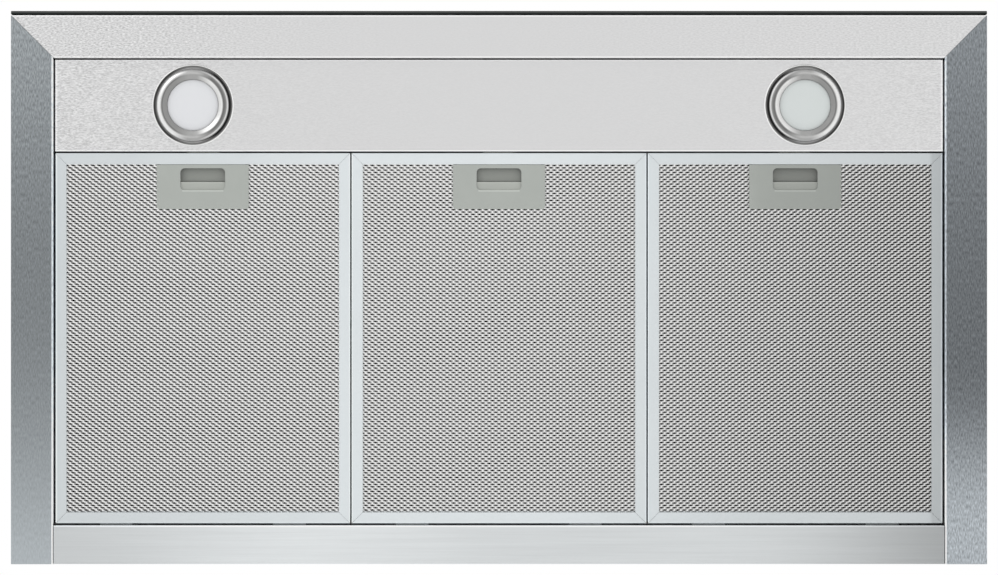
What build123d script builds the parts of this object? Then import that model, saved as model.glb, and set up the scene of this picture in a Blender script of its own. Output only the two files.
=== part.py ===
"""Built-in range hood insert, seen in use from below.

A folded stainless steel rim frames the underside.  Its front edge carries a black glass control
strip.  Inside the rim lie a lamp panel with two round LED lamps and three aluminium grease filters,
each with a sliding latch.  Above them a sheet metal box holds the blower, the wiring box and the
lamp driver, and a round collar with two damper flaps passes the air on to the duct.

Units are millimetres.  X runs left to right, -Y is the front, +Z is up.  The origin is under the
middle of the hood, in the plane of the rim's underside.
"""
import math
import os

from build123d import *

# ---------------------------------------------------------------- driving dimensions
HOOD_WIDTH = 900.0
HOOD_DEPTH = 510.0
RIM_HEIGHT = 45.0
SIDE_RIM_WIDTH = 39.1
FRONT_RIM_WIDTH = 39.7
REAR_RIM_WIDTH = 35.8
BODY_TOP = 285.0            # upper face of the body's top plate
STEEL = 1.0                 # rim sheet
THIN_STEEL = 0.8            # body, lamp panel and partition sheet
BEND = 0.3                  # inside radius of every fold
SEAM = 0.4                  # open joint between neighbouring rim pieces
RECESS = 4.0                # lamp panel and filters lie this far above the rim's underside

GLASS = 3.2
GLASS_TAPE = 0.6
GLASS_LIFT = 1.0            # the glass stays clear of whatever the rim stands on

PANEL_GAP = 1.0             # shadow gap in front of the lamp panel and between the filters
SIDE_GAP = 1.2              # shadow gap beside the lamp panel and the filters
PANEL_REAR = -125.4
PANEL_FLANGE_TOP = 22.0
LEDGE_TOP = 7.7             # upper edge of the panel's rear flange, which the latches hook over
LAMP_X = 282.4
LAMP_Y = -168.2

FILTER_THICKNESS = 9.0
FILTER_SHEET = 0.8
FILTER_FRONT = -124.2
FILTER_REAR = 218.0
FRAME_WIDTH = 10.5
MESH_COLUMNS = 8
MESH_ROWS = 18
MESH_STRAND = 3.0
PLEAT_PITCH = 12.0

LATCH_TRAVEL = 5.5
LATCH_WIDTH = 85.0
LATCH_FRONT = -113.3
LATCH_REAR = -72.4
WINDOW_WIDTH = 41.3
WINDOW_FRONT = -110.1
WINDOW_REAR = -89.8
LIP_FRONT = -97.5           # finger lip of the slider, as it shows in the window

HINGE_Z = 4.55              # rolled top edge of the rear ledge, the filters' pivot
HINGE_RADIUS = 0.5

DUCT_RADIUS = 75.0          # outside of the collar
DUCT_HEIGHT = 45.0
DUCT_Y = 60.0
DAMPER_Z = 290.6

VOLUTE_STEP = 12.0          # side of the square that the volute's four arcs are struck from
VOLUTE_RADIUS = 118.0
VOLUTE_CUTOFF_DEG = 65.0
SCROLL_WALL = 2.0
SCROLL_HALF_WIDTH = 80.0
BLOWER_Z = 150.0
IMPELLER_RADIUS = 72.0
IMPELLER_INNER = 60.0
IMPELLER_HALF = 62.0
BLADES = 32
BLADE_CHORD = 13.0
WHEEL_SHEET = 2.0
INLET_RADIUS = 58.0
SHAFT_RADIUS = 4.0
RUNNING_CLEARANCE = 0.05

FIXING_RADIUS = 2.5         # screw holes through the body's side walls
FIXING_Y = 150.0            # half the spacing of those holes
FIXING_Z = (110.0, 230.0)

# ---------------------------------------------------------------- places worked out from them
half_w = HOOD_WIDTH / 2
y_front = -HOOD_DEPTH / 2                      # face of the glass
y_rear = HOOD_DEPTH / 2
y_steel = y_front + GLASS + GLASS_TAPE         # front face of the steel rim
opening_x = half_w - SIDE_RIM_WIDTH            # inner edge of the side rims
opening_front = y_steel + FRONT_RIM_WIDTH
opening_rear = y_rear - REAR_RIM_WIDTH
hinge_y = opening_rear + HINGE_RADIUS
panel_x = opening_x - SIDE_GAP
panel_front = opening_front + PANEL_GAP
filter_width = (2 * panel_x - 2 * PANEL_GAP) / 3
filter_pitch = filter_width + PANEL_GAP
filter_bottom = RECESS
filter_top = RECESS + FILTER_THICKNESS
body_x = opening_x + 2.0
body_front = opening_front - 1.8
body_rear = 231.0
body_floor = STEEL + BEND + 0.1
ceiling = BODY_TOP - STEEL                     # underside of the body's top plate
volute_half = VOLUTE_STEP / 2
radii = [VOLUTE_RADIUS - n * VOLUTE_STEP for n in range(4)]
cutoff = math.radians(VOLUTE_CUTOFF_DEG)
throat_inner = -volute_half + radii[3] * math.cos(cutoff)
throat_outer = volute_half + radii[0]
blower_y = DUCT_Y - (throat_inner + throat_outer) / 2
neck_top = BODY_TOP - STEEL - BLOWER_Z         # scroll's outlet, above the impeller's axis

SIDES = {"left": -1, "right": 1}
BAYS = {"left": -filter_pitch, "middle": 0.0, "right": filter_pitch}


# ---------------------------------------------------------------- helpers
def block(x0, x1, y0, y1, z0, z1):
    """A box from its two corners."""
    middle = ((x0 + x1) / 2, (y0 + y1) / 2, (z0 + z1) / 2)
    return Pos(*middle) * Box(abs(x1 - x0), abs(y1 - y0), abs(z1 - z0))


def rod(start, end, radius):
    """A round bar between two points."""
    way = Vector(*end) - Vector(*start)
    return Plane(origin=start, z_dir=way) * extrude(Circle(radius), way.length)


def tube(start, end, outer, inner):
    """A hollow round bar between two points."""
    return rod(start, end, outer) - rod(start, end, inner)


def folded(points, thickness):
    """The cross-section of a folded sheet along a centre line."""
    line = FilletPolyline(*points, radius=BEND + thickness / 2)
    return trace(line, thickness)


def along_y(profile, y0, y1):
    """Extrudes a section drawn in X and Z from y0 to y1."""
    plane = Plane(origin=(0, y1, 0), x_dir=(1, 0, 0), z_dir=(0, -1, 0))
    return extrude(plane * profile, y1 - y0)


def along_x(profile, x0, x1):
    """Extrudes a section drawn in Y and Z from x0 to x1."""
    plane = Plane(origin=(x0, 0, 0), x_dir=(0, 1, 0), z_dir=(1, 0, 0))
    return extrude(plane * profile, x1 - x0)


def keep_side(solid, point, normal):
    """The part of a solid on the side of a plane that its normal points to."""
    return split(solid, bisect_by=Plane(origin=point, z_dir=normal), keep=Keep.TOP)


def turned(outline, x, y):
    """A round piece from half its outline in radius and Z, about a vertical axis."""
    plane = Plane(origin=(x, y, 0), x_dir=(1, 0, 0), z_dir=(0, -1, 0))
    section = plane * make_face(Polyline(*outline, close=True))
    return revolve(section, Axis((x, y, 0), (0, 0, 1)), 360)


def mirrored(shape):
    """The same shape on the other side of the hood's middle plane."""
    return mirror(shape, about=Plane.YZ)


def joined(shapes):
    """Several shapes as one."""
    shapes = list(shapes)
    return shapes[0].fuse(*shapes[1:]) if len(shapes) > 1 else shapes[0]


def group(shapes):
    """Several separate solids that share one name."""
    solids = []
    for shape in shapes:
        solids.extend(shape.solids())
    return Compound(children=solids)


def pan_screw(tip, head, radius=1.5):
    """A pan head screw from its tip to the underside of its head, with a cross recess."""
    way = (Vector(*head) - Vector(*tip)).normalized()
    crown = Vector(*head) + way * radius * 1.3
    plane = Plane(origin=crown, z_dir=way)
    shape = rod(tip, head, radius) + rod(head, tuple(crown), radius * 2)
    shape = fillet(shape.edges().sort_by(Axis(head, tuple(way)))[-1], radius * 0.6)
    slot = plane * (Rectangle(radius * 2.2, radius * 0.5) + Rectangle(radius * 0.5, radius * 2.2))
    return shape - extrude(slot, -radius * 0.8)


parts = {}


# ---------------------------------------------------------------- rim
def rim_section(sign, outer, inner, lip_top, top_edge):
    """C-shaped section: inner lip, underside, outer wall and top flange."""
    half = STEEL / 2
    return folded([
        (sign * (inner + half), lip_top),
        (sign * (inner + half), half),
        (sign * (outer - half), half),
        (sign * (outer - half), RIM_HEIGHT - half),
        (sign * top_edge, RIM_HEIGHT - half),
    ], STEEL)


LIP_TOP = 18.0
FLANGE_GAP = 0.1            # between the rim's top flange and the body
RIM_SCREW_Z = 12.0
SIDE_SCREW_Y = (-170.0, -40.0, 90.0, 200.0)
FRONT_SCREW_X = (-330.0, -125.0, 125.0, 330.0)
FRONT_JOINT_X = 113.0       # the front rim is three lengths, welded flush beside the control tray
mitre_corner = (-half_w, y_steel, 0)


def lip_holes(radius):
    """Cylinders through the lips and the body walls, where screws join them."""
    cuts = []
    for y in SIDE_SCREW_Y:
        for sign in (-1, 1):
            cuts.append(rod((sign * (opening_x - 2), y, RIM_SCREW_Z),
                            (sign * (body_x + 2), y, RIM_SCREW_Z), radius))
    for x in FRONT_SCREW_X:
        cuts.append(rod((x, opening_front + 2, RIM_SCREW_Z), (x, body_front - 2, RIM_SCREW_Z), radius))
    return cuts


def make_rims():
    screw_holes = lip_holes(1.6)
    side = along_y(rim_section(-1, half_w, opening_x, LIP_TOP, body_x + FLANGE_GAP), y_steel, y_rear)
    side = keep_side(side, (mitre_corner[0], mitre_corner[1] + SEAM / 2, 0), (-1, 1, 0))
    side -= block(-half_w + STEEL, -opening_x + 0.1, y_rear - 1.05, y_rear + 1,
                  STEEL + 0.05, RIM_HEIGHT + 1)
    lip_top = STEEL + BEND + 0.05
    side -= block(-opening_x - 3, -opening_x + 1, opening_rear - 0.4, y_rear + 1, lip_top, LIP_TOP + 1)
    parts["side_rim_left"] = side - screw_holes
    parts["side_rim_right"] = mirrored(side) - screw_holes

    section = rim_section(-1, -y_steel, -opening_front, LIP_TOP, FLANGE_GAP - body_front)
    front = along_x(section, -half_w, half_w)
    front = keep_side(front, (mitre_corner[0], mitre_corner[1] - SEAM / 2, 0), (1, -1, 0))
    front = keep_side(front, (half_w, mitre_corner[1] - SEAM / 2, 0), (-1, -1, 0))
    touch_window = block(-100, 100, y_steel - 1, y_steel + 2, 12, 34)
    front = front - touch_window - screw_holes
    lengths = []
    for x0, x1 in ((-half_w, -FRONT_JOINT_X), (-FRONT_JOINT_X, FRONT_JOINT_X), (FRONT_JOINT_X, half_w)):
        lengths.append(front & block(x0, x1, y_steel - 1, opening_front + 1, -1, RIM_HEIGHT + 1))
    parts["front_rim"] = group(lengths)

    half = STEEL / 2
    section = folded([
        (hinge_y, HINGE_Z),
        (hinge_y, half),
        (y_rear - half, half),
        (y_rear - half, RIM_HEIGHT - half),
        (body_rear + FLANGE_GAP, RIM_HEIGHT - half),
    ], STEEL)
    reach = opening_x - SEAM
    rear = along_x(section, -reach, reach)
    rear += rod((-reach, hinge_y, HINGE_Z), (reach, hinge_y, HINGE_Z), HINGE_RADIUS)
    for sign in (-1, 1):
        rear += block(sign * (reach - 0.5), sign * (half_w - STEEL - 0.05), y_rear - STEEL, y_rear,
                      STEEL + 0.1, RIM_HEIGHT)
    parts["rear_rim"] = rear

    screws = []
    for y in SIDE_SCREW_Y:
        for sign in (-1, 1):
            tip = (sign * (opening_x - 0.3), y, RIM_SCREW_Z)
            screws.append(pan_screw(tip, (sign * body_x, y, RIM_SCREW_Z)))
    for x in FRONT_SCREW_X:
        screws.append(pan_screw((x, opening_front + 0.3, RIM_SCREW_Z), (x, body_front, RIM_SCREW_Z)))
    parts["rim_screws"] = group(screws)


def make_controls():
    glass = block(-half_w, half_w, y_front, y_front + GLASS, GLASS_LIFT, RIM_HEIGHT)
    parts["control_glass"] = chamfer(glass.edges(), 0.4)
    tape = [block(-half_w + 6, half_w - 6, y_front + GLASS, y_steel, z, z + 7) for z in (3.0, 36.0)]
    parts["glass_tape"] = group(tape)

    board_front = y_front + GLASS + 0.1
    board_back = board_front + 1.6
    board = block(-97, 97, board_front, board_back, 13, 33)
    for n in range(5):
        board += block(-66 + n * 32, -54 + n * 32, board_back, board_back + 1.8, 18, 28)
    board += block(74, 90, board_back, board_back + 7, 17, 29)
    parts["control_board"] = board

    tray_front = y_steel + STEEL + 0.1
    back = tray_front + 20
    tray = [block(-112, 112, back, back + 2, 7, 39)]
    for low in (7, 37):
        tray.append(block(-112, 112, tray_front, back, low, low + 2))
    for sign in (-1, 1):
        tray.append(block(sign * 110, sign * 112, tray_front, back, 9, 37))
        tray.append(block(sign * 100, sign * 108, tray_front, back, 9, 37))
    parts["control_tray"] = group(tray)


# ---------------------------------------------------------------- lamps and their panel
PARTITION_REAR = -130.8
PARTITION_TOP = 62.0


def make_lamp_panel():
    """The panel is a floor with a folded flange in front and behind, and an upright sheet at each end."""
    half = THIN_STEEL / 2
    mid = RECESS + half
    section = folded([
        (panel_front + half, PANEL_FLANGE_TOP), (panel_front + half, mid),
        (PANEL_REAR - half, mid), (PANEL_REAR - half, LEDGE_TOP),
    ], THIN_STEEL)
    panel = along_x(section, -panel_x, panel_x)
    for sign in (-1, 1):
        panel -= rod((sign * LAMP_X, LAMP_Y, 0), (sign * LAMP_X, LAMP_Y, 10), 31.0)
    front_joint, rear_joint = panel_front + 2.0, PANEL_REAR - 2.0
    pieces = []
    for y0, y1 in ((panel_front, front_joint), (front_joint, rear_joint), (rear_joint, PANEL_REAR)):
        pieces.append(panel & block(-panel_x, panel_x, y0, y1, 0, PANEL_FLANGE_TOP + 1))
    for sign in (-1, 1):
        pieces.append(block(sign * (panel_x - THIN_STEEL), sign * panel_x, front_joint, PARTITION_REAR - 3,
                            RECESS + THIN_STEEL, PANEL_FLANGE_TOP))
    parts["lamp_panel"] = group(pieces)

    reach = body_x - THIN_STEEL - 2.0
    front = body_front + THIN_STEEL
    under = PARTITION_TOP - THIN_STEEL
    wall = block(-reach, reach, PARTITION_REAR - THIN_STEEL, PARTITION_REAR, 8.2, under)
    for sign in (-1, 1):
        wall -= block(sign * (panel_x - 1.0), sign * (body_x + 1), body_front, -100, 0, PANEL_FLANGE_TOP + 2)
    roof = block(-reach, reach, front, PARTITION_REAR, under, PARTITION_TOP)
    hem = block(-reach, reach, front, front + THIN_STEEL, PARTITION_TOP - 12, under)
    parts["lamp_partition"] = group([wall, roof, hem])


def make_lamp(side, sign):
    x = sign * LAMP_X
    rest = RECESS
    parts[f"lamp_bezel_{side}"] = turned([
        (37.7, rest), (37.7, rest - 0.6), (37.2, rest - 1.1), (36.5, rest - 1.1), (36.0, rest - 0.25),
        (33.9, rest - 0.25), (33.3, rest - 1.7), (32.1, rest - 2.8), (30.5, rest - 3.5), (28.5, rest - 3.7),
        (27.4, rest - 3.3), (23.7, rest - 1.7), (23.7, rest + 0.2), (28.8, rest + 0.2),
        (28.8, rest + 5.5), (30.4, rest + 5.5), (30.4, rest)], x, LAMP_Y)
    parts[f"lamp_lens_{side}"] = turned([
        (0, rest - 2.6), (8, rest - 2.55), (16, rest - 2.3), (22, rest - 1.9), (23.4, rest - 1.4),
        (23.4, rest + 0.3), (27.6, rest + 0.3), (27.6, rest + 1.6), (0, rest + 1.6)], x, LAMP_Y)
    can = turned([
        (0, 21), (0, 17.5), (26.4, 17.5), (26.4, rest + 2.0), (28.4, rest + 2.0), (28.4, 24),
        (10, 24), (10, 21)], x, LAMP_Y)
    can += rod((x, LAMP_Y, 20), (x, LAMP_Y, 42), 10)
    for n in range(16):
        fin = Pos(x, LAMP_Y, 0) * Rot(0, 0, n * 22.5) * block(8, 28, -0.7, 0.7, 23, 42)
        can += fin
    parts[f"lamp_can_{side}"] = can


def make_lamp_fittings():
    boards, clips = [], []
    for sign in (-1, 1):
        x = sign * LAMP_X
        board = rod((x, LAMP_Y, 15.8), (x, LAMP_Y, 17.4), 25)
        for n in range(6):
            angle = math.radians(60 * n)
            cx, cy = x + 14 * math.cos(angle), LAMP_Y + 14 * math.sin(angle)
            board += block(cx - 1.75, cx + 1.75, cy - 1.75, cy + 1.75, 14.9, 16)
        boards.append(board)
        strip = folded([(28.9, 34), (28.9, 12), (33, 8.5), (41, 5.4), (44.5, 7)], 0.6)
        for turn in (45, 225):
            clip = Pos(x, LAMP_Y, 0) * Rot(0, 0, turn) * along_y(strip, -4, 4)
            clips.append(clip)
    parts["lamp_boards"] = group(boards)
    parts["lamp_clips"] = group(clips)

    driver = block(-62, 62, -196, -148, 24, 50)
    driver = fillet(driver.edges().filter_by(Axis.Z), 4)
    feet = [block(s * 60, s * 74, -182, -162, 24, 26) for s in (-1, 1)]
    driver = joined([driver] + feet)
    parts["lamp_driver"] = Pos(0, 0, PARTITION_TOP - THIN_STEEL - 50.05) * driver

    leads = []
    lead_z = 46.0
    for sign in (-1, 1):
        route = FilletPolyline(
            (sign * 62.1, -170, lead_z), (sign * 100, -171, lead_z - 1), (sign * 142, -176, lead_z - 7),
            (sign * 184, -180, lead_z - 16), (sign * 220, -176, 21), (sign * (LAMP_X - 29.4), LAMP_Y, 19),
            radius=18)
        leads.append(sweep(Plane(route @ 0, z_dir=route % 0) * Circle(2.2), path=route))
    parts["lamp_leads"] = group(leads)


# ---------------------------------------------------------------- body box
def make_body():
    section = Rectangle(2 * body_x, body_rear - body_front)
    section = fillet(section.vertices(), THIN_STEEL + 0.2)
    wrap = section - offset(section, -THIN_STEEL)
    wrap = Pos(0, (body_rear + body_front) / 2, body_floor) * extrude(wrap, BODY_TOP - STEEL - body_floor)
    for sign in (-1, 1):
        for y in (-FIXING_Y, FIXING_Y):
            for z in FIXING_Z:
                wrap -= rod((sign * (body_x - 5), y, z), (sign * (body_x + 5), y, z), FIXING_RADIUS)
    parts["body_wrap"] = wrap - lip_holes(1.6)

    top = Pos(0, (body_rear + body_front) / 2, ceiling) * extrude(section, STEEL)
    top -= rod((CABLE_X, CABLE_Y, ceiling - 5), (CABLE_X, CABLE_Y, ceiling + 5), 12.1)
    top -= collar_screw_holes()
    outlet_x = SCROLL_HALF_WIDTH - 4
    outlet_front, outlet_rear = DUCT_Y - 46, DUCT_Y + 46
    sheets = []
    around = [(-body_x, body_x, body_front, outlet_front), (-body_x, body_x, outlet_rear, body_rear),
              (-body_x, -outlet_x, outlet_front, outlet_rear), (outlet_x, body_x, outlet_front, outlet_rear)]
    for x0, x1, y0, y1 in around:
        sheets.append(top & block(x0, x1, y0, y1, ceiling - 5, ceiling + 5))
    inset = THIN_STEEL + 0.1
    end = inset + 1.5
    low = BODY_TOP - 15
    flanges = []
    for sign in (-1, 1):
        edge = sign * (body_x - inset)
        flanges.append(block(edge, edge - sign * STEEL, body_front + end, body_rear - end, low, ceiling))
    for edge, inward in ((body_front + inset, 1), (body_rear - inset, -1)):
        flanges.append(block(-body_x + end, body_x - end, edge, edge + inward * STEEL, low, ceiling))
    parts["body_top"] = group(sheets + flanges)


CABLE_X = -330.0
CABLE_Y = 150.0
CABLE_BORE = 9.0
BOX_X = (-392.0, -272.0)
BOX_Y = (88.0, 208.0)
BOX_FLOOR = 232.0


def make_wiring_box():
    sheet = THIN_STEEL
    box = block(*BOX_X, *BOX_Y, BOX_FLOOR, ceiling - 0.05)
    box -= block(BOX_X[0] + sheet, BOX_X[1] - sheet, BOX_Y[0] + sheet, BOX_Y[1] - sheet,
                 BOX_FLOOR - 1, ceiling - sheet)
    box -= rod((CABLE_X, CABLE_Y, ceiling - 5), (CABLE_X, CABLE_Y, ceiling + 5), 12.1)
    box -= rod((BOX_X[1] - 3, 120, 256), (BOX_X[1] + 3, 120, 256), 3.6)
    parts["wiring_box"] = box

    low = BOX_FLOOR - sheet
    cover = block(BOX_X[0], BOX_X[1], BOX_Y[0], BOX_Y[1], low, BOX_FLOOR)
    inset = sheet + 0.2
    rib = block(BOX_X[0] + inset, BOX_X[1] - inset, BOX_Y[0] + inset, BOX_Y[1] - inset,
                BOX_FLOOR - 0.1, BOX_FLOOR + 9)
    rib -= block(BOX_X[0] + inset + sheet, BOX_X[1] - inset - sheet, BOX_Y[0] + inset + sheet,
                 BOX_Y[1] - inset - sheet, BOX_FLOOR - 1, BOX_FLOOR + 10)
    cover += rib
    parts["wiring_cover"] = cover

    bush = turned([
        (CABLE_BORE, ceiling - 4), (15, ceiling - 4), (15, ceiling - sheet - 0.1),
        (12, ceiling - sheet - 0.1), (12, BODY_TOP + 0.1), (15.5, BODY_TOP + 0.1),
        (14, BODY_TOP + 4), (CABLE_BORE, BODY_TOP + 4)], CABLE_X, CABLE_Y)
    parts["cable_bush"] = bush

    capacitor = rod((-376, 190, 262), (-318, 190, 262), 14)
    capacitor = fillet(capacitor.edges(), 2) + rod((-318.5, 190, 262), (-310, 190, 262), 4)
    parts["capacitor"] = capacitor

    terminals = block(-352, -296, 104, 124, BOX_FLOOR + 11, BOX_FLOOR + 29)
    for n in range(5):
        terminals -= rod((-346 + n * 11, 114, BOX_FLOOR + 6), (-346 + n * 11, 114, BOX_FLOOR + 18), 2.4)
    parts["terminal_block"] = terminals

    motor_x = -SCROLL_HALF_WIDTH - 12
    route = FilletPolyline(
        (BOX_X[1] + 0.1, 120, 256), (-244, 118, 254), (-206, 96, 238), (-170, 62, 212),
        (-134, 22, 186), (-112, -4, 170), (motor_x - 6, blower_y, BLOWER_Z + 14), radius=24)
    parts["motor_lead"] = sweep(Plane(route @ 0, z_dir=route % 0) * Circle(3.2), path=route)


# ---------------------------------------------------------------- blower
def volute(grow):
    """The scroll's outline in Y and Z about the impeller's axis, moved outwards by grow."""
    h = volute_half
    centres = [(h, h), (h, -h), (-h, -h), (-h, h)]
    last_turn = math.degrees(math.acos((radii[3] * math.cos(cutoff) - grow) / (radii[3] + grow)))
    turns = [(0, -90), (-90, -180), (180, 90), (90, last_turn)]
    arcs = []
    for centre, radius, (first, last) in zip(centres, radii, turns):
        arc = CenterArc(centre, radius + grow, first, last - first)
        arcs.append(arc)
    neck = Polyline(arcs[-1] @ 1, (throat_inner - grow, neck_top),
                    (throat_outer + grow, neck_top), arcs[0] @ 0)
    return Pos(blower_y, BLOWER_Z) * make_face(arcs + [neck])


FLANGE_X = 104.0            # half width of the scroll's outlet flange and of the collar's plate
FLANGE_Y = 66.0
COLLAR_PLATE_Y = 80.0
COLLAR_SCREW_X = 97.0
COLLAR_SCREW_Y = 58.0


def collar_screw_holes():
    return [rod((sx * COLLAR_SCREW_X, DUCT_Y + sy * COLLAR_SCREW_Y, BODY_TOP - 10),
                (sx * COLLAR_SCREW_X, DUCT_Y + sy * COLLAR_SCREW_Y, BODY_TOP + 10), 2.1)
            for sx in (-1, 1) for sy in (-1, 1)]


def make_scroll():
    """Each half of the blower housing: wall with its seam, cheek with its inlet, and outlet flange."""
    outer, air = volute(SCROLL_WALL), volute(0)
    cheek_x = SCROLL_HALF_WIDTH - SCROLL_WALL
    seam = along_x(volute(8) - air, 0.05, 2.5)
    seam -= block(-5, 5, -300, 300, ceiling - 4, ceiling + 20)
    wall = along_x(outer - air, 0.05, cheek_x) + seam

    cheek = along_x(outer, cheek_x, SCROLL_HALF_WIDTH)
    axis = (blower_y, BLOWER_Z)
    cheek += rod((SCROLL_HALF_WIDTH - 9, *axis), (SCROLL_HALF_WIDTH, *axis), INLET_RADIUS + 3)
    cheek -= rod((SCROLL_HALF_WIDTH - 12, *axis), (SCROLL_HALF_WIDTH + 2, *axis), INLET_RADIUS)
    for angle in (30, 150, 270):
        cheek += scroll_boss(angle)

    flange = block(0.05, FLANGE_X, DUCT_Y - FLANGE_Y, DUCT_Y + FLANGE_Y, ceiling - 3.5, ceiling - 0.05)
    flange -= block(-1, SCROLL_HALF_WIDTH, blower_y + throat_inner - SCROLL_WALL,
                    blower_y + throat_outer + SCROLL_WALL, ceiling - 5, ceiling + 5)
    flange -= collar_screw_holes()
    parts["scroll_right"] = group([wall, cheek, flange])
    parts["scroll_left"] = group([mirrored(wall), mirrored(cheek), mirrored(flange)])


def scroll_boss(angle):
    """A boss on the cheek that carries a motor bracket arm."""
    a = math.radians(angle)
    y, z = blower_y + 68 * math.cos(a), BLOWER_Z + 68 * math.sin(a)
    return tube((SCROLL_HALF_WIDTH - 1, y, z), (SCROLL_HALF_WIDTH + 6, y, z), 5.5, 1.7)


def make_impeller():
    """Double inlet wheel: disc with its hub, an end ring each side, and straight blades between them."""
    disc = Cylinder(IMPELLER_RADIUS - 0.5, WHEEL_SHEET) + Cylinder(11, 12)
    disc -= Cylinder(SHAFT_RADIUS, 60)
    ring = Circle(IMPELLER_RADIUS) - Circle(IMPELLER_INNER)
    span = IMPELLER_HALF - 1.5 * WHEEL_SHEET
    pieces = [disc]
    for sign in (-1, 1):
        ring_z = sign * (IMPELLER_HALF - WHEEL_SHEET / 2)
        pieces.append(Pos(0, 0, ring_z) * extrude(ring, WHEEL_SHEET / 2, both=True))
        blade_place = Pos(0, (IMPELLER_RADIUS + IMPELLER_INNER) / 2, sign * (WHEEL_SHEET + span) / 2)
        blade = blade_place * Rot(0, 0, 38) * Box(0.9, BLADE_CHORD, span)
        pieces += [Rot(0, 0, n * 360 / BLADES) * blade for n in range(BLADES)]
    place = Location((0, blower_y, BLOWER_Z), (0, 90, 0))
    parts["impeller"] = group([place * piece for piece in pieces])
    parts["motor_shaft"] = rod((-66, blower_y, BLOWER_Z), (14, blower_y, BLOWER_Z), SHAFT_RADIUS)


MOTOR_FRONT = -12.0
MOTOR_BACK = -76.0
MOTOR_RADIUS = 41.0


def make_motor():
    axis = (blower_y, BLOWER_Z)
    case = rod((MOTOR_BACK, *axis), (MOTOR_FRONT, *axis), MOTOR_RADIUS)
    case = fillet(case.edges(), 5)
    for x in (-58, -44, -30):
        case += rod((x, *axis), (x + 3, *axis), MOTOR_RADIUS + 1.5)
    case += rod((-SCROLL_HALF_WIDTH - 7, *axis), (MOTOR_BACK + 2, *axis), 14)
    case -= rod((-68, *axis), (MOTOR_FRONT + 2, *axis), SHAFT_RADIUS + RUNNING_CLEARANCE)
    parts["motor"] = case

    bracket_x = -SCROLL_HALF_WIDTH - 9
    bracket = rod((bracket_x, *axis), (bracket_x + 2, *axis), 26)
    grommets, screws = [], []
    for angle in (30, 150, 270):
        a = math.radians(angle)
        arm = block(bracket_x, bracket_x + 2, 18, 76, -7, 7)
        arm = fillet(arm.edges().filter_by(Axis.X), 3)
        bracket += Pos(0, *axis) * Rot(angle, 0, 0) * arm
        y, z = axis[0] + 68 * math.cos(a), axis[1] + 68 * math.sin(a)
        bracket -= rod((bracket_x - 2, y, z), (bracket_x + 4, y, z), 4.1)
        waist = tube((bracket_x, y, z), (bracket_x + 2, y, z), 4.0, 2.1)
        pad = tube((bracket_x + 2.05, y, z), (bracket_x + 3, y, z), 6, 2.1)
        outer_pad = tube((bracket_x - 2, y, z), (bracket_x - 0.05, y, z), 6, 2.1)
        neck = tube((bracket_x - 0.1, y, z), (bracket_x + 2.1, y, z), 3.9, 2.1)
        grommets.append(joined([waist, pad, outer_pad, neck]))
        screws.append(pan_screw((bracket_x + 9, y, z), (bracket_x - 2.05, y, z)))
    parts["motor_bracket"] = bracket
    parts["motor_grommets"] = group(grommets)
    parts["motor_screws"] = group(screws)


# ---------------------------------------------------------------- collar and damper
KNUCKLE = 3.1
PIN_RADIUS = 2.0
FLAP_RADIUS = 72.4
FLAP_CLEAR = 3.8
STOP_TOP = DAMPER_Z - 0.6
KNUCKLES = {"front": ((-58, -46), (-14, -2), (30, 42)), "rear": ((-42, -30), (2, 14), (46, 58))}


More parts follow.
